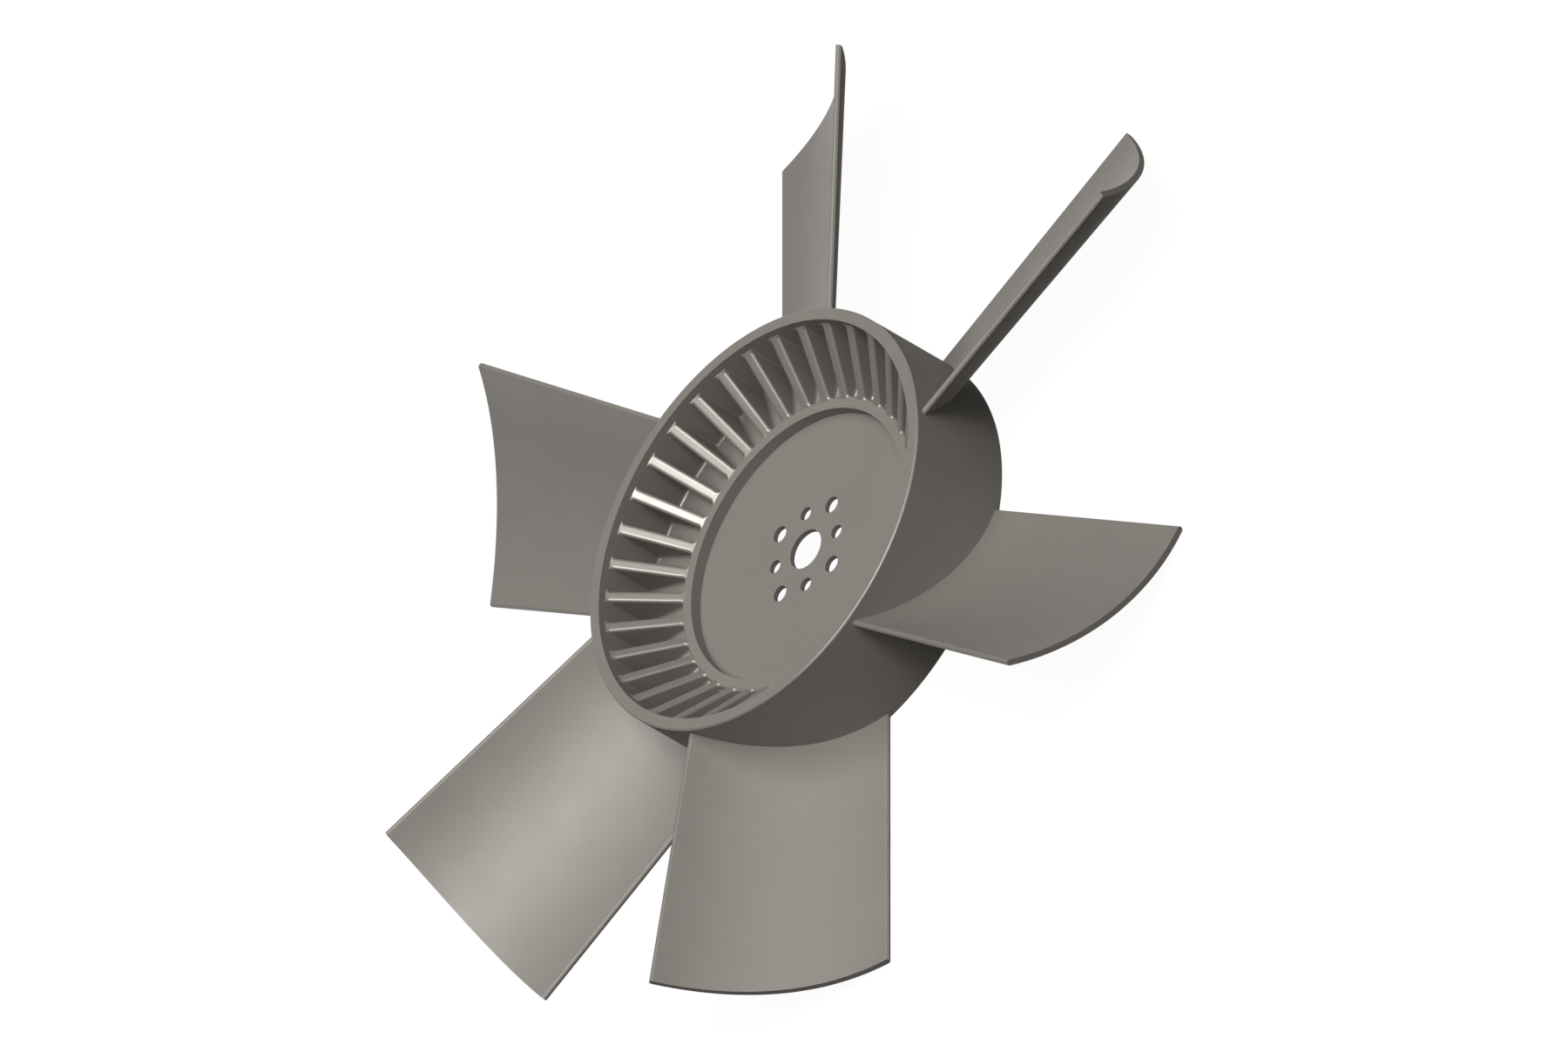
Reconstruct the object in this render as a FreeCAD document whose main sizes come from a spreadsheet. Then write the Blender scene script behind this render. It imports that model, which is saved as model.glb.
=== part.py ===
# An axial fan impeller, moulded in one piece: a drum hub with a bored disc across it, a raised ring
# on the disc, a circle of gusset ribs between ring and rim, and six cambered blades.
# Millimetres. The axis of rotation is Z, the back plane of the hub is z = 0, and the front, where
# the ribs are, faces +Z. One blade points along +Y, and a rib pocket along +X.

import FreeCAD, Part
import math
import os
import Sketcher

SIZES = {
    # the hub is an open drum
    "hub_diameter": 268.0,
    "hub_depth": 70.4,
    "rim_wall": 7.5,
    "rim_edge_chamfer": 0.8,
    # the disc across the hub, whose front face lies behind the rim by the setback
    "disc_setback": 42.9,
    "disc_thickness": 3.5,
    # the ring round the recess, whose face stands in front of the disc
    "recess_diameter": 172.4,
    "ring_width": 6.8,
    "ring_height": 7.6,
    # the ribs slope from just behind the rim down to the ring
    "rib_count": 36,
    "rib_thickness": 7.0,
    "rib_top_setback": 5.2,
    # the pockets between the ribs: floor above the disc, corners round at the rim, cut at the ring
    "pocket_floor_height": 3.1,
    "pocket_rim_radius": 2.5,
    "pocket_ring_cut": 2.5,
    # the bore and two rings of bolt holes
    "bore_diameter": 25.0,
    "bolt_count": 4,
    "small_bolt_circle": 50.0,
    "small_bolt_hole": 8.4,
    "large_bolt_circle": 59.5,
    "large_bolt_hole": 10.2,
    # the blades, whose rear edge is a straight line beside the radius it runs along
    "blade_count": 6,
    "tip_diameter": 607.2,
    "blade_thickness": 3.8,
    "blade_edge_flat": 1.6,
    "blade_pitch_angle": 32.1,
    "rear_edge_offset": 43.1,
    "rear_edge_height": 2.1,
    "root_chord": 114.7,
    "root_camber_radius": 173.0,
    "tip_chord": 144.2,
    "tip_camber_radius": 196.9,
    # how far inside the hub the root section lies, and how far past the tip circle the tip section
    "root_embed": 34.0,
    "tip_allowance": 6.4,
}

# Sketch vocabulary: the origin as a curve, and the start, end and centre of a curve.
ORIGIN = -1
START, END, CENTRE = range(1, 4)
UPWARD = FreeCAD.Vector(0, 0, 1)


class Size:
    """A dimension both as a number and as the sheet formula that gives it."""

    def __init__(self, number, formula=None):
        self.number = number
        self.formula = formula or f"({number})"

    def combine(self, sign, other, number):
        return Size(number, f"({self.formula} {sign} {as_size(other).formula})")

    def __add__(self, other):
        return self.combine("+", other, self.number + as_size(other).number)

    def __sub__(self, other):
        return self.combine("-", other, self.number - as_size(other).number)

    def __mul__(self, other):
        return self.combine("*", other, self.number * as_size(other).number)

    def __truediv__(self, other):
        return self.combine("/", other, self.number / as_size(other).number)

    def __neg__(self):
        return Size(-self.number, f"(0 - {self.formula})")


def as_size(value):
    return value if isinstance(value, Size) else Size(value)


def size(name):
    return Size(SIZES[name], f"sizes.{name}")


# Angles are plain numbers of degrees.
def cosine(angle):
    return Size(math.cos(math.radians(angle.number)), f"cos({angle.formula} * 1deg)")


def sine(angle):
    return Size(math.sin(math.radians(angle.number)), f"sin({angle.formula} * 1deg)")


def arcsine(ratio):
    return Size(math.degrees(math.asin(ratio.number)), f"(asin({ratio.formula}) / 1deg)")


def polar(radius, angle):
    return radius * cosine(angle), radius * sine(angle)


def vector(x, y):
    return FreeCAD.Vector(as_size(x).number, as_size(y).number, 0)


def fill_sheet(doc):
    sheet = doc.addObject("Spreadsheet::Sheet", "sizes")
    for row, (name, number) in enumerate(SIZES.items(), start=1):
        sheet.set(f"A{row}", name)
        sheet.set(f"B{row}", str(number))
        sheet.setAlias(f"B{row}", name)
    doc.recompute()


def origin_part(body, role):
    return next(feature for feature in body.Origin.OriginFeatures if feature.Role == role)


def new_sketch(body, name, role, offset=None):
    """A sketch on an origin plane of the body, moved along the plane's normal by an offset."""
    sketch = body.newObject("Sketcher::SketchObject", name)
    sketch.AttachmentSupport = [(origin_part(body, role), "")]
    sketch.MapMode = "FlatFace"
    if offset is not None:
        sketch.setExpression("AttachmentOffset.Base.z", offset.formula)
    return sketch


def add_line(sketch, start, end):
    return sketch.addGeometry(Part.LineSegment(vector(*start), vector(*end)), False)


def add_arc(sketch, centre, radius, first, last):
    """An arc from one angle to another, in degrees."""
    whole = Part.Circle(vector(*centre), UPWARD, as_size(radius).number)
    span = (math.radians(first), math.radians(last))
    return sketch.addGeometry(Part.ArcOfCircle(whole, *span), False)


def join(sketch, kind, *where):
    """A geometric constraint."""
    sketch.addConstraint(Sketcher.Constraint(kind, *where))


def bind(sketch, kind, *where, to):
    """A dimensional constraint whose value follows the sheet."""
    index = sketch.addConstraint(Sketcher.Constraint(kind, *where, to.number))
    sketch.setExpression(f"Constraints[{index}]", to.formula)


def bind_angle(sketch, *where, to):
    index = sketch.addConstraint(Sketcher.Constraint("Angle", *where, math.radians(to.number)))
    sketch.setExpression(f"Constraints[{index}]", f"{to.formula} * 1deg")


def pin(sketch, curve, end, x, y):
    """Fixes a point of a curve at x and y from the sketch's origin."""
    bind(sketch, "DistanceX", ORIGIN, START, curve, end, to=as_size(x))
    bind(sketch, "DistanceY", ORIGIN, START, curve, end, to=as_size(y))


def outline(sketch, corners):
    """A closed outline of straight lines, every corner fixed."""
    following = corners[1:] + corners[:1]
    lines = [add_line(sketch, here, there) for here, there in zip(corners, following)]
    for before, line, corner in zip(lines[-1:] + lines[:-1], lines, corners):
        join(sketch, "Coincident", before, END, line, START)
        pin(sketch, line, START, *corner)


def circle(sketch, radius, centre):
    curve = sketch.addGeometry(Part.Circle(vector(*centre), UPWARD, radius.number), False)
    pin(sketch, curve, CENTRE, *centre)
    bind(sketch, "Radius", curve, to=radius)


def revolve(body, name, kind, sketch):
    """A full turn of a profile about the axis, which adds or cuts as its kind says."""
    feature = body.newObject(kind, name)
    feature.Profile = sketch
    feature.ReferenceAxis = (origin_part(body, "Z_Axis"), [""])
    feature.Angle = 360


def repeat(body, name, feature, count):
    """Copies of a feature spaced evenly about the axis."""
    pattern = body.newObject("PartDesign::PolarPattern", name)
    pattern.Originals = [feature]
    pattern.Axis = (origin_part(body, "Z_Axis"), [""])
    pattern.Angle = 360
    pattern.setExpression("Occurrences", count.formula)
    body.Tip = pattern


def rim_inside():
    return size("hub_diameter") / 2 - size("rim_wall")


def disc_front():
    return size("hub_depth") - size("disc_setback")


def ring_outside():
    return size("recess_diameter") / 2 + size("ring_width")


def before_blades():
    """A height clear in front of the hub and of every blade."""
    return size("hub_depth") + size("tip_chord")


def behind_blades():
    """A height clear behind the hub and every blade."""
    return -size("tip_chord")


def add_drum(body):
    """The solid drum that the hub is hollowed from."""
    radius = size("hub_diameter") / 2
    depth = size("hub_depth")
    cut = size("rim_edge_chamfer")
    profile = new_sketch(body, "drum_profile", "XZ_Plane")
    outline(profile, [
        (0, 0),
        (radius - cut, 0),
        (radius, cut),
        (radius, depth - cut),
        (radius - cut, depth),
        (0, depth),
    ])
    revolve(body, "drum", "PartDesign::Revolution", profile)


def blade_section(body, name, station, chord, camber_radius):
    """A cambered plate with eased edges, cut across the blade at one distance from the axis.

    Both faces are arcs about one centre in front of the blade. The chord joins the middles of the
    two edges and climbs from the rear edge at the blade's pitch.
    """
    half = size("blade_thickness") / 2
    half_flat = size("blade_edge_flat") / 2
    half_span = arcsine(chord / 2 / camber_radius)
    rear_angle = size("blade_pitch_angle") - half_span - 90
    front_angle = size("blade_pitch_angle") + half_span - 90
    back_x, back_z = polar(camber_radius, rear_angle)
    centre_x = -size("rear_edge_offset") - back_x
    centre_z = size("rear_edge_height") - back_z

    def corner(angle, outward, onward):
        """A point off the camber line's end: away from the centre, and on past the end."""
        radial_x, radial_z = polar(camber_radius + outward, angle)
        onward_x, onward_z = polar(onward, angle + 90)
        return centre_x + radial_x + onward_x, centre_z + radial_z + onward_z

    sketch = new_sketch(body, name, "XZ_Plane", -station)
    centre = (centre_x, centre_z)
    spread = (rear_angle.number, front_angle.number)
    faces = [
        add_arc(sketch, centre, camber_radius - half, *spread),
        add_arc(sketch, centre, camber_radius + half, *spread),
    ]
    for face, side in zip(faces, (-half, half)):
        bind(sketch, "Radius", face, to=camber_radius + side)
    # each edge is a narrow flat between two chamfers
    for angle, sign, face_end in ((rear_angle, -1, START), (front_angle, 1, END)):
        nose = half * sign
        corners = [
            corner(angle, -half, Size(0)),
            corner(angle, -half_flat, nose),
            corner(angle, half_flat, nose),
            corner(angle, half, Size(0)),
        ]
        edge = [add_line(sketch, here, there) for here, there in zip(corners, corners[1:])]
        join(sketch, "Coincident", faces[0], face_end, edge[0], START)
        join(sketch, "Coincident", edge[0], END, edge[1], START)
        join(sketch, "Coincident", edge[1], END, edge[2], START)
        join(sketch, "Coincident", edge[2], END, faces[1], face_end)
        for line, place in zip(edge, corners):
            pin(sketch, line, START, *place)
        pin(sketch, edge[-1], END, *corners[-1])
    return sketch


def add_blades(body):
    """The blades, drawn from inside the hub to past the tips and trimmed to the tip circle."""
    hub_radius = size("hub_diameter") / 2
    tip_radius = size("tip_diameter") / 2
    root_station = hub_radius - size("root_embed")
    tip_station = tip_radius + size("tip_allowance")
    root = blade_section(
        body, "root_section", root_station, size("root_chord"), size("root_camber_radius")
    )
    tip = blade_section(
        body, "tip_section", tip_station, size("tip_chord"), size("tip_camber_radius")
    )
    blade = body.newObject("PartDesign::AdditiveLoft", "blade")
    blade.Profile = root
    blade.Sections = [tip]
    blade.Ruled = True
    blade.Refine = False
    repeat(body, "blade_set", blade, size("blade_count"))

    beyond = tip_station + size("tip_chord")
    trim = new_sketch(body, "tip_trim", "XZ_Plane")
    outline(trim, [
        (tip_radius, behind_blades()),
        (beyond, behind_blades()),
        (beyond, before_blades()),
        (tip_radius, before_blades()),
    ])
    revolve(body, "tip_circle", "PartDesign::Groove", trim)


def cut_hollows(body):
    """The front hollow, with the disc, the ring and the slope of the ribs, and the rear hollow.

    Both also clear what the blades' roots leave in front of the hub and behind it.
    """
    depth = size("hub_depth")
    wall = rim_inside()
    floor = disc_front()
    cut = size("rim_edge_chamfer")
    recess = size("recess_diameter") / 2
    ring_face = floor + size("ring_height")
    front = new_sketch(body, "front_profile", "XZ_Plane")
    outline(front, [
        (0, floor),
        (recess, floor),
        (recess, ring_face),
        (ring_outside(), ring_face),
        (wall, depth - size("rib_top_setback")),
        (wall, depth - cut),
        (wall + cut, depth),
        (wall + cut, before_blades()),
        (0, before_blades()),
    ])
    revolve(body, "front_hollow", "PartDesign::Groove", front)

    back = floor - size("disc_thickness")
    rear = new_sketch(body, "rear_profile", "XZ_Plane")
    outline(rear, [
        (0, behind_blades()),
        (wall + cut, behind_blades()),
        (wall + cut, 0),
        (wall, cut),
        (wall, back),
        (0, back),
    ])
    revolve(body, "rear_hollow", "PartDesign::Groove", rear)


def pocket_plan(body):
    """The plan of one space between two ribs, centred on the X axis.

    Its long sides run beside the ribs' middle planes, so that the ribs have parallel walls. At the
    rim its corners are round, and at the ring they are cut off at 45 degrees.
    """
    radius = size("pocket_rim_radius")
    cut = size("pocket_ring_cut")
    half_rib = size("rib_thickness") / 2
    half_pitch = Size(180.0) / size("rib_count")
    slant = Size(45.0)
    tilt = math.radians(half_pitch.number)

    def beside_rib(reach, inset):
        """The point at a reach from the axis and an inset from the upper rib's middle plane."""
        along = math.sqrt(reach**2 - inset**2)
        x = along * math.cos(tilt) + inset * math.sin(tilt)
        return x, along * math.sin(tilt) - inset * math.cos(tilt)

    # where the sketch starts from before its constraints settle it
    outer_x, outer_y = beside_rib(rim_inside().number - radius.number, half_rib.number + radius.number)
    turn = math.degrees(math.atan2(outer_y, outer_x))
    square = 90 + half_pitch.number
    round_start = (
        outer_x + radius.number * math.cos(math.radians(square)),
        outer_y + radius.number * math.sin(math.radians(square)),
    )
    notch = cut.number * math.sqrt(0.5)
    cut_start = beside_rib(ring_outside().number + notch, half_rib.number)
    cut_end = beside_rib(ring_outside().number, half_rib.number + notch)
    ring_turn = math.degrees(math.atan2(cut_end[1], cut_end[0]))

    sketch = new_sketch(body, "pocket_plan", "XY_Plane", size("hub_depth"))
    rim = add_arc(sketch, (0, 0), rim_inside(), -turn, turn)
    ring = add_arc(sketch, (0, 0), ring_outside(), -ring_turn, ring_turn)
    for curve, reach in ((rim, rim_inside()), (ring, ring_outside())):
        join(sketch, "Coincident", curve, CENTRE, ORIGIN, START)
        bind(sketch, "Radius", curve, to=reach)
    for sign, arc_end in ((1, END), (-1, START)):
        side = add_line(
            sketch, (cut_start[0], sign * cut_start[1]), (round_start[0], sign * round_start[1])
        )
        corner_cut = add_line(
            sketch, (cut_start[0], sign * cut_start[1]), (cut_end[0], sign * cut_end[1])
        )
        first, last = sorted((sign * turn, sign * square))
        corner = add_arc(sketch, (outer_x, sign * outer_y), radius, first, last)
        at_rim, at_side = (START, END) if sign > 0 else (END, START)
        join(sketch, "Tangent", corner, at_side, side, END)
        join(sketch, "Tangent", corner, at_rim, rim, arc_end)
        join(sketch, "Coincident", corner_cut, START, side, START)
        join(sketch, "Coincident", corner_cut, END, ring, arc_end)
        bind(sketch, "Radius", corner, to=radius)
        bind(sketch, "Distance", ORIGIN, START, side, to=half_rib)
        bind(sketch, "Distance", corner_cut, START, corner_cut, END, to=cut)
        bind_angle(sketch, side, to=half_pitch * sign)
        # the cut heads back towards the ring, turned from the side by the slant
        bind_angle(sketch, corner_cut, to=(half_pitch + 180 + slant) * sign)
    return sketch


def cut_pockets(body):
    """The spaces between the ribs, down to their floor."""
    pocket = body.newObject("PartDesign::Pocket", "rib_pocket")
    pocket.Profile = pocket_plan(body)
    pocket.Type = "Length"
    depth = size("disc_setback") - size("pocket_floor_height")
    pocket.setExpression("Length", depth.formula)
    repeat(body, "rib_set", pocket, size("rib_count"))


def cut_hole(body, name, radius, centre):
    """A round hole through the disc, drilled from the back plane."""
    plan = new_sketch(body, f"{name}_plan", "XY_Plane")
    circle(plan, radius, centre)
    hole = body.newObject("PartDesign::Pocket", name)
    hole.Profile = plan
    hole.Type = "ThroughAll"
    hole.Reversed = True
    return hole


def cut_holes(body):
    """The bore, four small holes on the X and Y axes and four large ones between them."""
    cut_hole(body, "bore", size("bore_diameter") / 2, (0, 0))
    for name, start in (("small_bolt", Size(0.0)), ("large_bolt", Size(45.0))):
        centre = polar(size(f"{name}_circle") / 2, start)
        hole = cut_hole(body, f"{name}_hole", size(f"{name}_hole") / 2, centre)
        repeat(body, f"{name}_set", hole, size("bolt_count"))


def check(doc, body):
    doc.recompute()
    for item in doc.Objects:
        if "Invalid" in item.State or "Error" in item.State:
            raise RuntimeError(f"{item.Name} failed: {item.getStatusString()}")
    if body.Shape.isNull() or not body.Shape.isValid():
        raise RuntimeError("the impeller has no valid shape")


def volume_after(doc, body, step):
    """The body's volume once a step of the model has been made."""
    step(body)
    doc.recompute()
    return body.Shape.Volume


def build():
    doc = FreeCAD.newDocument("impeller")
    fill_sheet(doc)
    body = doc.addObject("PartDesign::Body", "impeller")
    body.Label = "impeller"
    add_drum(body)
    solid = volume_after(doc, body, add_blades)
    for step in (cut_hollows, cut_pockets, cut_holes):
        rest = volume_after(doc, body, step)
        if rest >= solid:
            raise RuntimeError(f"{step.__name__} took nothing away")
        solid = rest
    check(doc, body)
    os.makedirs("parts", exist_ok=True)
    body.Shape.exportStep("parts/impeller.step")


build()
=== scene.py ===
import math

import bmesh
import bpy
import numpy as np
from mathutils import Matrix, Vector
from mathutils.geometry import delaunay_2d_cdt


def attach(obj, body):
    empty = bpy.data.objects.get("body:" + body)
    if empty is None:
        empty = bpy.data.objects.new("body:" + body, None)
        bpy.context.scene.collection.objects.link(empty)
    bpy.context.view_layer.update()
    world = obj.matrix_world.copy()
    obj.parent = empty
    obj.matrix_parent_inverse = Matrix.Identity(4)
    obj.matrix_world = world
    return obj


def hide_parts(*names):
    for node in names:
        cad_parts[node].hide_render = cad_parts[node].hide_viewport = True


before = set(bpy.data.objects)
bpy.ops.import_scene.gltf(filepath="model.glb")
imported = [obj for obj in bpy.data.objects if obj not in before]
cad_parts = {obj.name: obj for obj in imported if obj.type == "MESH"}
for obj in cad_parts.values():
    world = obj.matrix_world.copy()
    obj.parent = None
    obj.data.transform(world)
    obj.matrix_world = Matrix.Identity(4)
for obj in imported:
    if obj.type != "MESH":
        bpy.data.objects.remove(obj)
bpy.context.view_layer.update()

# An axial fan impeller, moulded in one piece. All sizes are named in millimetres. The finished
# mesh and everything round it are in metres. Z is the axis, and z = 0 is the rear of the hub.
MM = 0.001

# hub: a drum with a disc across it, a recess in the disc's front and a ring round the recess
HUB_RADIUS = 134.0
HUB_DEPTH = 70.4
RIM_INSIDE = 126.5
RIM_ROUNDING = 1.2
DISC_BACK = 24.0
DISC_FRONT = 27.5
RECESS_RADIUS = 86.2
RING_FACE = 35.1
REAR_FILLET = 2.0
# edges that look sharp have a rounding or a bevel this small
CRISP_EDGE = 0.12

# ribs and the pockets between them
RIB_COUNT = 36
# from the middle of a pocket to the middle of the rib beside it, in radians
RIB_ANGLE = math.pi / RIB_COUNT
HALF_RIB = 3.5
RIB_FOOT_RADIUS = 92.0
RIB_FOOT_HEIGHT = RING_FACE
RIB_HEAD_HEIGHT = 65.2
TOP_ROUNDING = 2.0
RING_WALL = RIB_FOOT_RADIUS + TOP_ROUNDING
RING_CORNER = 1.0
RIM_CORNER = 1.4
POCKET_FLOOR = 30.6
FLOOR_FILLET = 2.0

# bore and bolt holes: how many, from which angle, on which radius, with which radius
BORE_RADIUS = 12.5
HOLES = (
    (1, 0.0, 0.0, BORE_RADIUS),
    (4, 0.0, 25.0, 4.2),
    (4, 45.0, 29.75, 5.1),
)

# blades, from just under the outside of the hub to the tips
BLADE_COUNT = 6
TIP_RADIUS = 303.55
ROOT_CUT = 131.0
HALF_BLADE = 1.9
# the rear end of every chord: its place across the blade and its height
REAR_EDGE = (-43.1, 2.1)
# the slope of every chord, in degrees
PITCH = 32.1
# the middle of each rounded long edge lies this far inside the chord's end
REAR_SETBACK = 1.5
FRONT_SETBACK = 1.1
# each section: distance from the axis, chord, radius of the camber line
ROOT_SECTION = (100.0, 114.7, 173.0)
TIP_SECTION = (310.0, 144.2, 196.9)

# how many straight steps stand for each curve or stretch
SEGMENTS = {
    "ring arc": 3,
    "corner": 6,
    "rib": 6,
    "rib top": 2,
    "floor fillet": 5,
    "top rounding": 6,
    "rim rounding": 5,
    "crisp edge": 2,
    "chord": 48,
    "nose": 10,
    "span": 10,
    "hole": 48,
}
# corners that agree to this many decimals are one point, and so are points this near
WELD_DECIMALS = 3
WELD_DISTANCE = 0.002
# faces that meet at more degrees than this have a sharp edge between them
SHARP_ANGLE = 32.0

# warm grey plastic: the two colours that its mottling runs between, and the highlights' tint
PLASTIC_COLOURS = ((0.239, 0.220, 0.198, 1), (0.251, 0.231, 0.208, 1))
HIGHLIGHT_TINT = (1.0, 0.94, 0.87, 1)
# its finishes, each with index of refraction, specular level, lowest and highest roughness
MATTE, SATIN, POLISHED = range(3)
FINISHES = (
    ("matte", 1.5, 0.15, 0.71, 0.79),
    ("satin", 1.6, 1.0, 0.43, 0.48),
    ("polished", 1.8, 1.0, 0.31, 0.35),
)
# each noise: scale over a metre, levels of detail, how strong each finer level is
MOTTLING = (28.0, 4.0, 0.55)
GLOSS_PATCHES = (60.0, 5.0, 0.6)
GRAIN = (900.0, 2.0, 0.6)
# the values between which nearly all of a noise lies
NOISE_LOW = 0.3
NOISE_HIGH = 0.7
GRAIN_STRENGTH = 0.15
GRAIN_DEPTH = 0.06
# the height of a face's normal: above the first it looks to the front, above the second it is flat
FRONT_FACING = 0.05
NEARLY_FLAT = 0.98
# the sockets of a mix node for colours: its factor, its two colours and its result
MIX_FACTOR = 0
MIX_COLOURS = (6, 7)
MIX_RESULT = 2

# floor with a backdrop round it: half its width, how far the backdrop goes up and down, and
# how far below the impeller it lies
FLOOR_HALF = 12000.0
BACKDROP_REACH = 1000.0
FLOOR_GAP = 0.5
# it is white to the camera by its own glow, where 1 is white, and by the little that it reflects
FLOOR_GLOW = 0.96
FLOOR_COLOUR = (0.06, 0.06, 0.06, 1)

# camera: the photograph's width in pixels, and what a pixel shows square to the line of sight
PHOTO_WIDTH = 1800
MM_PER_PIXEL = 0.504
# the middle of the photograph, in pixels right of and above the middle of the rim's front plane
LOOK_AT = (35.4, -4.3)
# the isometric line of sight, which foreshortens all three axes alike
CAMERA_RIGHT = Vector((1, 0, -1)).normalized()
CAMERA_UP = Vector((1, 2, 1)).normalized()
CAMERA_BACK = Vector((1, -1, 1)).normalized()
CAMERA_DISTANCE = 2000.0

# each lamp: name, the direction it lies in, strength, apparent size in degrees
LAMPS = (
    ("key", (0.43, -0.20, 0.88), 0.90, 18.0),
    ("side", (-0.088, -0.306, 0.948), 0.58, 20.0),
    ("top", (0.24, 0.0, 0.97), 1.62, 70.0),
    ("low", (0.62, -0.42, 0.66), 0.15, 60.0),
)
# the even light from all round
WORLD_COLOUR = (1, 1, 1, 1)
WORLD_STRENGTH = 0.03


def polar(radius, angle):
    """Points in the plan at a radius and an angle in radians."""
    return np.stack([radius * np.cos(angle), radius * np.sin(angle)], axis=-1)


def lift(plan, heights):
    """Points in the plan with heights, as an array of places."""
    heights = np.broadcast_to(heights, plan.shape[:-1])
    return np.concatenate([plan, heights[..., None]], axis=-1)


def mirror(places):
    """Places mirrored in the plane through the axis and the middle of the first pocket."""
    return places * np.array([1.0, -1.0, 1.0])


def quarter(centre, radius, start, end, count):
    """Points of an arc in the plane of radius and height, from one angle to another in degrees."""
    angles = np.radians(np.linspace(start, end, count + 1))
    return np.asarray(centre) + polar(radius, angles)


def right_angle(count):
    """Angles from 0 to 90 degrees in even steps, in radians."""
    return np.radians(np.linspace(0, 90, count + 1))


class Shell:
    """Polygons given by their corners, welded into one mesh at the end."""

    def __init__(self):
        self.polygons = []

    def add_grid(self, grid):
        """Quads between neighbours of a rows x columns x 3 array."""
        quads = np.stack([grid[:-1, :-1], grid[:-1, 1:], grid[1:, 1:], grid[1:, :-1]], axis=2)
        self.polygons.extend(quads.reshape(-1, 4, 3))

    def add_polygon(self, corners):
        """One flat polygon."""
        self.polygons.append(np.asarray(corners, dtype=float))

    def add_turned(self, row, profile):
        """A surface about the axis that begins at a row and follows a profile of radius and height.

        Gives the angles of its columns without the last, where the next sector begins.
        """
        angles = np.arctan2(row[:, 1], row[:, 0])
        circles = [lift(polar(radius, angles), height) for radius, height in profile]
        self.add_grid(np.stack([row, *circles]))
        return angles[:-1]

    def spin(self, count):
        """Repeats all that is there evenly about the axis."""
        sector = self.polygons
        self.polygons = []
        for index in range(count):
            angle = 2 * math.pi * index / count
            turn = np.array([
                [math.cos(angle), math.sin(angle), 0.0],
                [-math.sin(angle), math.cos(angle), 0.0],
                [0.0, 0.0, 1.0],
            ])
            self.polygons.extend(polygon @ turn for polygon in sector)

    def extend(self, other):
        """Takes in the polygons of another shell."""
        self.polygons.extend(other.polygons)

    def build(self, name):
        """The mesh in metres, with its corners welded and its faces turned outwards."""
        sizes = [len(polygon) for polygon in self.polygons]
        corners = np.concatenate(self.polygons)
        _, first, index = np.unique(
            np.round(corners, WELD_DECIMALS), axis=0, return_index=True, return_inverse=True
        )
        points = corners[first] * MM
        faces = []
        for face in np.split(index.ravel(), np.cumsum(sizes)[:-1]):
            # neighbouring corners that are one count once, and a face with under three goes
            pairs = zip(face, np.roll(face, 1))
            kept = [int(corner) for corner, before in pairs if corner != before]
            if len(set(kept)) == len(kept) > 2:
                faces.append(kept)
        mesh = bpy.data.meshes.new(name)
        mesh.from_pydata(points.tolist(), [], faces)
        work = bmesh.new()
        work.from_mesh(mesh)
        bmesh.ops.remove_doubles(work, verts=work.verts, dist=WELD_DISTANCE * MM)
        bmesh.ops.recalc_face_normals(work, faces=work.faces)
        work.to_mesh(mesh)
        work.free()
        mesh.validate()
        return mesh


def rib_top(radius):
    """The height of the top surface between ring and rim."""
    run = (radius - RIB_FOOT_RADIUS) / (RIM_INSIDE - RIB_FOOT_RADIUS)
    return RIB_FOOT_HEIGHT + np.clip(run, 0, 1) * (RIB_HEAD_HEIGHT - RIB_FOOT_HEIGHT)


def corner_centre(reach, radius):
    """The centre of a pocket's corner of this radius beside the rib, this far from the axis."""
    along = np.array([math.cos(RIB_ANGLE), math.sin(RIB_ANGLE)])
    across = np.array([math.sin(RIB_ANGLE), -math.cos(RIB_ANGLE)])
    aside = HALF_RIB + radius
    return math.sqrt(reach**2 - aside**2) * along + aside * across


def room_for_rounding(points, into):
    """How far the top rounding can run from each point into the wall before it meets the rim."""
    outward = np.sum(points * into, axis=1)
    spare = RIM_INSIDE**2 - np.sum(points**2, axis=1)
    run = -outward + np.sqrt(np.maximum(outward**2 + spare, 0))
    return np.clip(run, 0, TOP_ROUNDING)


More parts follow.
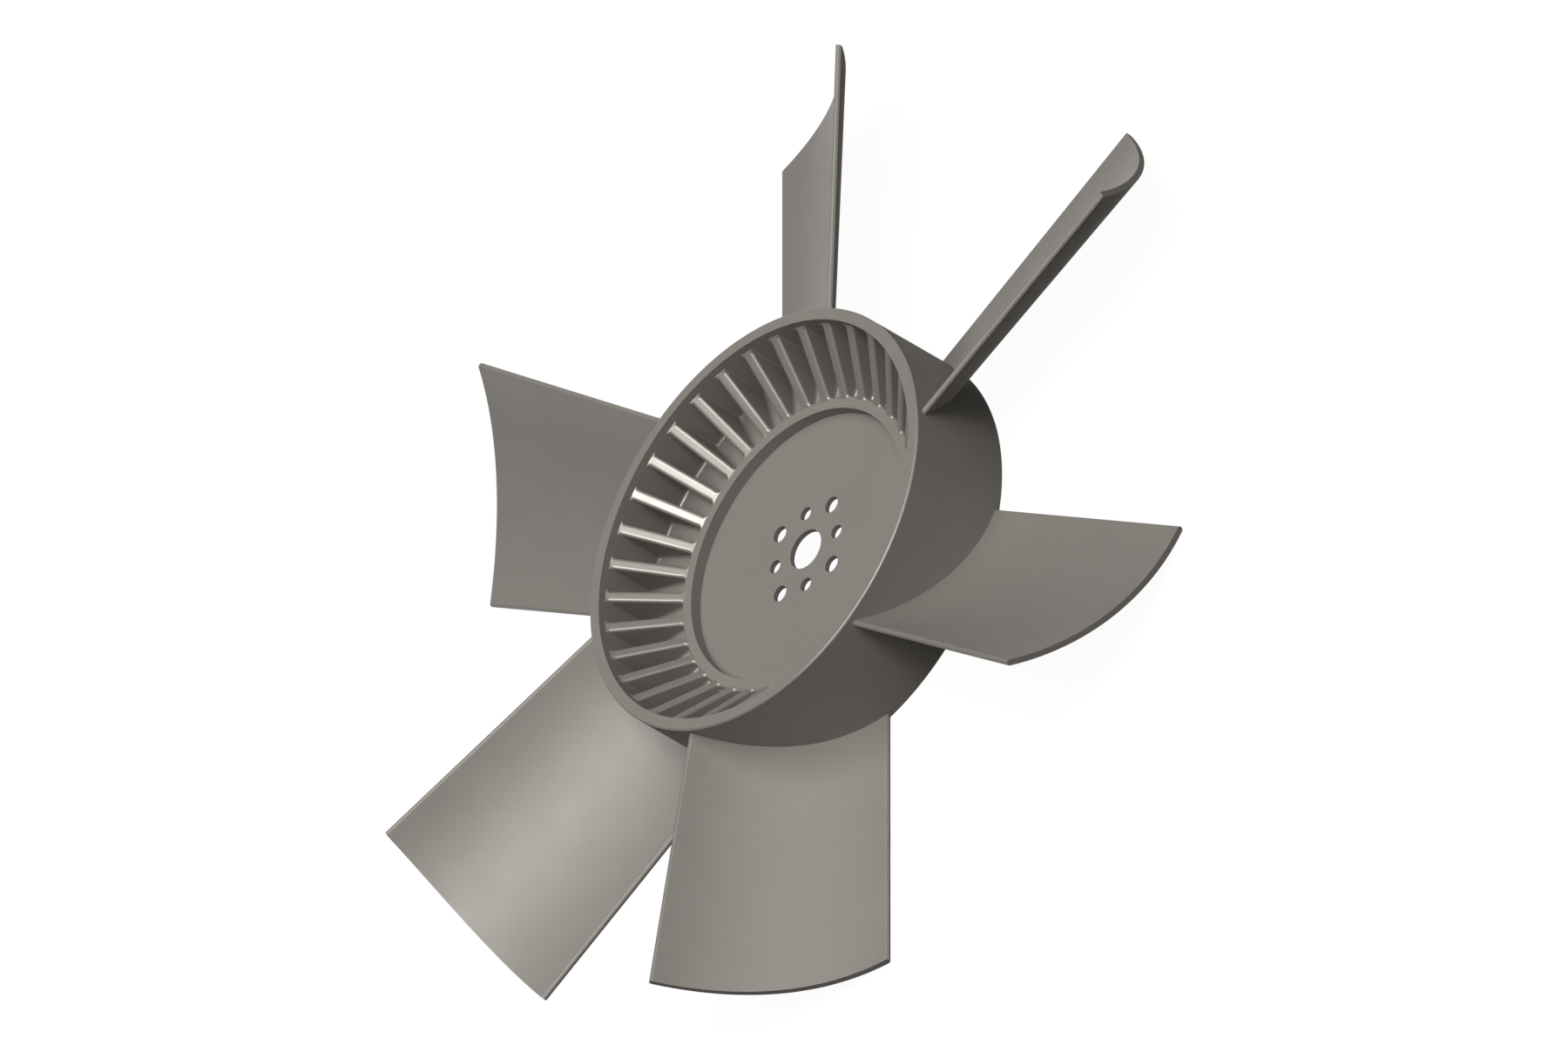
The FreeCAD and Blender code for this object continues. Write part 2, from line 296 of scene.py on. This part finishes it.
def half_pocket():
    """Half the plan of a pocket, from the ring's middle round by the rib to the rim's middle.

    Gives for each sample its point on the wall, the direction into the wall, and how far the
    rounding at the top runs in that direction. Gives the number of the last sample that has the
    whole rounding. Gives for each of the two corners its samples, its centre, its radius, and
    the middle and half of its sweep.
    """
    steps = SEGMENTS["corner"]
    foot = SEGMENTS["ring arc"]
    ring_centre = corner_centre(RING_WALL + RING_CORNER, RING_CORNER)
    rim_centre = corner_centre(RIM_INSIDE - RIM_CORNER, RIM_CORNER)
    ring_turn = math.atan2(ring_centre[1], ring_centre[0])
    rim_turn = math.atan2(rim_centre[1], rim_centre[0])
    to_rib = RIB_ANGLE + math.pi / 2

    # where the outer line of the top rounding reaches the rim, as an angle from the radius
    reach = np.linalg.norm(rim_centre)
    outer = RIM_CORNER + TOP_ROUNDING
    meet = math.acos((RIM_INSIDE**2 - reach**2 - outer**2) / (2 * reach * outer))

    points, turns = [], []

    def add_arc(centre, radius, angles, turned=0.0):
        """An arc, with the direction into its wall: outwards, or turned from that."""
        points.append(centre + polar(radius, angles))
        turns.append(angles + turned)

    add_arc(0.0, RING_WALL, np.linspace(0, ring_turn, foot + 1)[:-1], math.pi)
    add_arc(ring_centre, RING_CORNER, np.linspace(ring_turn + math.pi, to_rib, steps + 1))

    first = ring_centre + polar(RING_CORNER, to_rib)
    last = rim_centre + polar(RIM_CORNER, to_rib)
    share = np.linspace(0, 1, SEGMENTS["rib"] + 1)[1:-1, None]
    points.append(first + (last - first) * share)
    turns.append(np.full(len(share), to_rib))

    add_arc(rim_centre, RIM_CORNER, np.linspace(to_rib, rim_turn + meet, steps + 1))
    head = sum(len(part) for part in turns) - 1
    add_arc(rim_centre, RIM_CORNER, np.linspace(rim_turn + meet, rim_turn, steps + 1)[1:])
    add_arc(0.0, RIM_INSIDE, np.linspace(rim_turn, 0, foot + 1)[1:])

    points = np.concatenate(points)
    into = polar(1.0, np.concatenate(turns))
    run = room_for_rounding(points, into)
    run[:head + 1] = TOP_ROUNDING

    corners = []
    for samples, centre, radius, turn in (
        (slice(foot, foot + steps + 1), ring_centre, RING_CORNER, ring_turn + math.pi),
        (slice(head - steps, head + steps + 1), rim_centre, RIM_CORNER, rim_turn),
    ):
        corners.append((samples, centre, radius, (to_rib + turn) / 2, abs(to_rib - turn) / 2))
    return points, into, run, head, corners


def inset(points, into, corners, distance):
    """The outline moved in from the walls, with a mitre where a corner is tighter than that."""
    plan = points - distance * into
    for samples, centre, radius, middle, half in corners:
        if distance > radius:
            plan[samples] = centre - polar((distance - radius) / math.cos(half), middle)
    return plan


def pocket_wall(points, into, run, corners):
    """Rows of points up the wall of half a pocket, from its floor over the rounding at its top."""
    tops = rib_top(np.linalg.norm(points + run[:, None] * into, axis=1))
    rows = []
    for angle in right_angle(SEGMENTS["floor fillet"]):
        plan = inset(points, into, corners, FLOOR_FILLET * (1 - math.sin(angle)))
        rows.append(lift(plan, POCKET_FLOOR + FLOOR_FILLET * (1 - math.cos(angle))))
    for angle in right_angle(SEGMENTS["top rounding"]):
        plan = points + (run * (1 - math.cos(angle)))[:, None] * into
        rows.append(lift(plan, tops - run * (1 - math.sin(angle))))
    return np.stack(rows)


def rib_flat(flank):
    """Rows of points over the flat top of half a rib, from its rounding to its middle."""
    radius = np.linalg.norm(flank[:, :2], axis=1)
    start = np.arctan2(flank[:, 1], flank[:, 0])
    share = np.linspace(0, 1, SEGMENTS["rib top"] + 1)[:, None]
    return lift(polar(radius, start + (RIB_ANGLE - start) * share), flank[:, 2])


def rim_profile():
    """The rim from its inner front edge over the outside and the rear to the disc's back."""
    rounding = SEGMENTS["rim rounding"]
    edge = (RIM_INSIDE + CRISP_EDGE, HUB_DEPTH - CRISP_EDGE)
    inner = RIM_INSIDE + RIM_ROUNDING
    outer = HUB_RADIUS - RIM_ROUNDING
    fillet = (RIM_INSIDE - REAR_FILLET, DISC_BACK - REAR_FILLET)
    return np.concatenate([
        quarter(edge, CRISP_EDGE, 180, 90, SEGMENTS["crisp edge"]),
        quarter((outer, HUB_DEPTH - RIM_ROUNDING), RIM_ROUNDING, 90, 0, rounding),
        quarter((outer, RIM_ROUNDING), RIM_ROUNDING, 0, -90, rounding),
        quarter((inner, RIM_ROUNDING), RIM_ROUNDING, 270, 180, rounding),
        quarter(fillet, REAR_FILLET, 0, 90, rounding),
    ])


def ring_profile():
    """The ring from its face over its inner edge and down to the recess."""
    edge = (RECESS_RADIUS + CRISP_EDGE, RING_FACE - CRISP_EDGE)
    return np.concatenate([
        quarter(edge, CRISP_EDGE, 90, 180, SEGMENTS["crisp edge"]),
        [(RECESS_RADIUS, DISC_FRONT)],
    ])


def sector():
    """One pocket with half a rib on each side, from the recess out to the outside of the rim.

    Gives its shell, and the angles of its points round the recess and round the rear hollow.
    """
    shell = Shell()
    points, into, run, head, corners = half_pocket()
    wall = pocket_wall(points, into, run, corners)
    shell.add_grid(wall)
    shell.add_grid(mirror(wall))
    shell.add_polygon(np.concatenate([wall[0], mirror(wall[0][-2:0:-1])]))

    edge = wall[-1]
    foot = SEGMENTS["ring arc"]
    top = rib_flat(edge[foot:head + 1])
    shell.add_grid(top)
    shell.add_grid(mirror(top))

    # each row goes from the rib's middle to the pocket's middle, and then on as a mirror image
    rim = np.concatenate([top[::-1, -1], edge[head + 1:]])
    ring = np.concatenate([top[::-1, 0], edge[foot - 1::-1]])
    rim_angles = shell.add_turned(np.concatenate([rim, mirror(rim[-2::-1])]), rim_profile())
    ring_angles = shell.add_turned(np.concatenate([ring, mirror(ring[-2::-1])]), ring_profile())
    return shell, ring_angles, rim_angles


def around(angles, count):
    """The angles of one sector repeated all round, in order."""
    turns = 2 * math.pi * np.arange(count) / count
    return np.sort((turns[:, None] + angles[None, :]).ravel())


def hole_list():
    """The centre and the radius of each hole in the disc."""
    for count, start, distance, radius in HOLES:
        for index in range(count):
            angle = math.radians(start + 360 * index / count)
            yield polar(distance, angle), radius


def disc_side(shell, outside, angles, height):
    """A face of the disc, with its holes left out."""
    circle = np.linspace(0, 2 * math.pi, SEGMENTS["hole"], endpoint=False)
    loops = [polar(outside, angles)]
    holes = [(centre, radius + CRISP_EDGE) for centre, radius in hole_list()]
    for centre, radius in holes:
        loops.append(centre + polar(radius, circle))
    edges, start = [], 0
    for loop in loops:
        count = len(loop)
        edges += [(start + k, start + (k + 1) % count) for k in range(count)]
        start += count
    plan = [Vector(point) for point in np.concatenate(loops)]
    # the outside is round, so all triangles lie within it, and only those in the holes go
    all_triangles, nearness = 0, 1e-6
    flat, _, faces, *_ = delaunay_2d_cdt(plan, edges, [], all_triangles, nearness)
    flat = np.array([tuple(point) for point in flat])
    for face in faces:
        corners = flat[face]
        middle = corners.mean(axis=0)
        if all(np.linalg.norm(middle - centre) > radius for centre, radius in holes):
            shell.add_polygon(lift(corners, height))


def hole_walls(shell):
    """The walls of the holes, with a small bevel at both ends."""
    circle = np.linspace(0, 2 * math.pi, SEGMENTS["hole"] + 1)
    for centre, radius in hole_list():
        rows = [
            (radius + CRISP_EDGE, DISC_FRONT),
            (radius, DISC_FRONT - CRISP_EDGE),
            (radius, DISC_BACK + CRISP_EDGE),
            (radius + CRISP_EDGE, DISC_BACK),
        ]
        shell.add_grid(np.stack([lift(centre + polar(r, circle), z) for r, z in rows]))


def section_outline(chord, camber):
    """The outline of a blade's section, from the rear edge along the back and round again."""
    half_span = math.asin(chord / 2 / camber)
    rear = math.radians(PITCH) - half_span - math.pi / 2
    front = math.radians(PITCH) + half_span - math.pi / 2
    centre = np.array(REAR_EDGE) - polar(camber, rear)
    rear += REAR_SETBACK / camber
    front -= FRONT_SETBACK / camber
    arc = np.linspace(rear, front, SEGMENTS["chord"] + 1)
    nose = np.linspace(0, math.pi, SEGMENTS["nose"] + 1)[1:-1]
    return np.concatenate([
        centre + polar(camber + HALF_BLADE, arc),
        centre + polar(camber, front) + polar(HALF_BLADE, front + nose),
        centre + polar(camber - HALF_BLADE, arc[::-1]),
        centre + polar(camber, rear) + polar(HALF_BLADE, rear + math.pi + nose),
    ])


def station_at(radius, start, end, first, last):
    """How far along each line between the sections a cylinder about the axis cuts it."""
    slope = end - start
    rise = last - first
    a = slope**2 + rise**2
    b = 2 * (start * slope + first * rise)
    c = start**2 + first**2 - radius**2
    return (-b + np.sqrt(b**2 - 4 * a * c)) / (2 * a)


def blade():
    """A blade that points along +Y, ruled between its two sections and closed at both ends."""
    shell = Shell()
    first, root_chord, root_camber = ROOT_SECTION
    last, tip_chord, tip_camber = TIP_SECTION
    root = section_outline(root_chord, root_camber)
    tip = section_outline(tip_chord, tip_camber)
    begin = station_at(ROOT_CUT, root[:, 0], tip[:, 0], first, last)
    end = station_at(TIP_RADIUS, root[:, 0], tip[:, 0], first, last)
    rows = []
    for share in np.linspace(0, 1, SEGMENTS["span"] + 1):
        along = begin + (end - begin) * share
        place = root + (tip - root) * along[:, None]
        rows.append(np.column_stack([place[:, 0], first + (last - first) * along, place[:, 1]]))
    shell.add_grid(np.stack([np.concatenate([row, row[:1]]) for row in rows]))

    # each end: quads between back and front, and a polygon in each rounded edge
    chord = SEGMENTS["chord"] + 1
    nose = SEGMENTS["nose"] - 1
    for row in (rows[0], rows[-1]):
        back = row[:chord]
        face = row[chord + nose:2 * chord + nose][::-1]
        shell.add_grid(np.stack([back, face]))
        shell.add_polygon(row[chord - 1:chord + nose + 1])
        shell.add_polygon(np.concatenate([row[2 * chord + nose - 1:], row[:1]]))
    return shell


def impeller_mesh():
    """The hub with its disc and holes, and the blades, whose roots end within the rim's wall."""
    hub, ring_angles, rim_angles = sector()
    hub.spin(RIB_COUNT)
    disc_side(hub, RECESS_RADIUS, around(ring_angles, RIB_COUNT), DISC_FRONT)
    disc_side(hub, RIM_INSIDE - REAR_FILLET, around(rim_angles, RIB_COUNT), DISC_BACK)
    hole_walls(hub)
    blades = blade()
    blades.spin(BLADE_COUNT)
    hub.extend(blades)
    return hub.build("impeller_surface")


def moulded_plastic(name, index, gloss, smoothest, roughest):
    """Warm grey moulded plastic: an even skin with a fine grain and faint mottling."""
    material = bpy.data.materials.new(name)
    material.use_nodes = True
    nodes = material.node_tree.nodes
    links = material.node_tree.links
    shader = nodes["Principled BSDF"]
    shader.inputs["IOR"].default_value = index
    shader.inputs["Specular IOR Level"].default_value = gloss
    shader.inputs["Specular Tint"].default_value = HIGHLIGHT_TINT
    place = nodes.new("ShaderNodeTexCoord")

    def noise(scale, detail, roughness):
        """A noise fixed to the object."""
        node = nodes.new("ShaderNodeTexNoise")
        node.inputs["Scale"].default_value = scale
        node.inputs["Detail"].default_value = detail
        node.inputs["Roughness"].default_value = roughness
        links.new(place.outputs["Object"], node.inputs["Vector"])
        return node.outputs["Fac"]

    def ramp(source, low, high):
        """A noise spread from one value to another."""
        node = nodes.new("ShaderNodeMapRange")
        node.inputs["From Min"].default_value = NOISE_LOW
        node.inputs["From Max"].default_value = NOISE_HIGH
        node.inputs["To Min"].default_value = low
        node.inputs["To Max"].default_value = high
        links.new(source, node.inputs["Value"])
        return node.outputs["Result"]

    colour = nodes.new("ShaderNodeMix")
    colour.data_type = "RGBA"
    for socket, shade in zip(MIX_COLOURS, PLASTIC_COLOURS):
        colour.inputs[socket].default_value = shade
    links.new(ramp(noise(*MOTTLING), 0.0, 1.0), colour.inputs[MIX_FACTOR])
    links.new(colour.outputs[MIX_RESULT], shader.inputs["Base Color"])
    links.new(ramp(noise(*GLOSS_PATCHES), smoothest, roughest), shader.inputs["Roughness"])
    bump = nodes.new("ShaderNodeBump")
    bump.inputs["Strength"].default_value = GRAIN_STRENGTH
    bump.inputs["Distance"].default_value = GRAIN_DEPTH * MM
    links.new(noise(*GRAIN), bump.inputs["Height"])
    links.new(bump.outputs["Normal"], shader.inputs["Normal"])
    return material


def finish_of(face):
    """The finish of a face.

    Satin on the blades, where they look to the front. Polished from the ring out to the rim,
    on sloping tops and roundings. Matte on the outside, the back, the disc and flat faces.
    """
    if face.normal.z < FRONT_FACING:
        return MATTE
    radius = math.hypot(face.center.x, face.center.y) / MM
    if radius > HUB_RADIUS:
        return SATIN
    beyond_ring = radius > (RECESS_RADIUS + RIB_FOOT_RADIUS) / 2 and face.center.z > DISC_FRONT * MM
    return POLISHED if beyond_ring and face.normal.z < NEARLY_FLAT else MATTE


def make_impeller():
    """The impeller as one piece, in place of its solid."""
    mesh = impeller_mesh()
    mesh.set_sharp_from_angle(angle=math.radians(SHARP_ANGLE))
    for settings in FINISHES:
        mesh.materials.append(moulded_plastic(*settings))
    for face in mesh.polygons:
        face.material_index = finish_of(face)
    piece = bpy.data.objects.new("impeller_moulding", mesh)
    bpy.context.scene.collection.objects.link(piece)
    shading = piece.modifiers.new("even_shading", "WEIGHTED_NORMAL")
    shading.mode = "FACE_AREA_WITH_ANGLE"
    shading.keep_sharp = True
    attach(piece, "root")
    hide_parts("impeller")


def seen_ray(nodes, links, strength):
    """A strength for rays from the camera, in reflections or through glass, and none for others."""
    path = nodes.new("ShaderNodeLightPath")
    seen = path.outputs["Is Camera Ray"]
    for ray in ("Is Glossy Ray", "Is Transmission Ray"):
        either = nodes.new("ShaderNodeMath")
        either.operation = "MAXIMUM"
        links.new(seen, either.inputs[0])
        links.new(path.outputs[ray], either.inputs[1])
        seen = either.outputs["Value"]
    scaled = nodes.new("ShaderNodeMath")
    scaled.operation = "MULTIPLY"
    scaled.inputs[1].default_value = strength
    links.new(seen, scaled.inputs[0])
    return scaled.outputs["Value"]


def floor_paper():
    """A pale surface that is white to the camera outside the shadow."""
    material = bpy.data.materials.new("floor")
    material.use_nodes = True
    nodes = material.node_tree.nodes
    links = material.node_tree.links
    nodes.remove(nodes["Principled BSDF"])
    paper = nodes.new("ShaderNodeBsdfDiffuse")
    paper.inputs["Color"].default_value = FLOOR_COLOUR
    glow = nodes.new("ShaderNodeEmission")
    links.new(seen_ray(nodes, links, FLOOR_GLOW), glow.inputs["Strength"])
    total = nodes.new("ShaderNodeAddShader")
    links.new(paper.outputs["BSDF"], total.inputs[0])
    links.new(glow.outputs["Emission"], total.inputs[1])
    links.new(total.outputs["Shader"], nodes["Material Output"].inputs["Surface"])
    return material


def make_floor():
    """A wide floor with a low backdrop far out, which goes up and down from its edge."""
    half = FLOOR_HALF * MM
    wall = BACKDROP_REACH * MM
    corners = [(-half, -half), (half, -half), (half, half), (-half, half)]
    count = len(corners)
    points = [(x, y, z) for z in (0.0, wall, -wall) for x, y in corners]
    sides = [(k, (k + 1) % count) for k in range(count)]
    walls = [(a, b, b + row, a + row) for row in (count, 2 * count) for a, b in sides]
    mesh = bpy.data.meshes.new("floor")
    mesh.from_pydata(points, [], [tuple(range(count))] + walls)
    mesh.materials.append(floor_paper())
    floor = bpy.data.objects.new("floor", mesh)
    floor.location.z = -FLOOR_GAP * MM
    bpy.context.scene.collection.objects.link(floor)


def make_lights():
    """The lamps, and a faint even light from all round."""
    for name, towards, strength, spread in LAMPS:
        lamp = bpy.data.lights.new(name, "SUN")
        lamp.energy = strength
        lamp.angle = math.radians(spread)
        holder = bpy.data.objects.new(name, lamp)
        holder.rotation_euler = Vector(towards).to_track_quat("Z", "Y").to_euler()
        bpy.context.scene.collection.objects.link(holder)

    world = bpy.data.worlds.new("studio")
    bpy.context.scene.world = world
    world.use_nodes = True
    background = world.node_tree.nodes["Background"]
    background.inputs["Color"].default_value = WORLD_COLOUR
    background.inputs["Strength"].default_value = WORLD_STRENGTH


def make_camera():
    """A camera without perspective, which frames the impeller as the photograph does."""
    data = bpy.data.cameras.new("camera")
    data.type = "ORTHO"
    data.ortho_scale = PHOTO_WIDTH * MM_PER_PIXEL * MM
    camera = bpy.data.objects.new("camera", data)
    right, up = (pixels * MM_PER_PIXEL * MM for pixels in LOOK_AT)
    target = Vector((0, 0, HUB_DEPTH * MM)) + right * CAMERA_RIGHT + up * CAMERA_UP
    turn = Matrix((CAMERA_RIGHT, CAMERA_UP, CAMERA_BACK)).transposed().to_4x4()
    place = target + CAMERA_DISTANCE * MM * CAMERA_BACK
    camera.matrix_world = Matrix.Translation(place) @ turn
    bpy.context.scene.collection.objects.link(camera)
    bpy.context.scene.camera = camera


make_camera()
make_impeller()
make_floor()
make_lights()
bpy.context.scene.view_settings.view_transform = "Standard"

bpy.context.view_layer.update()
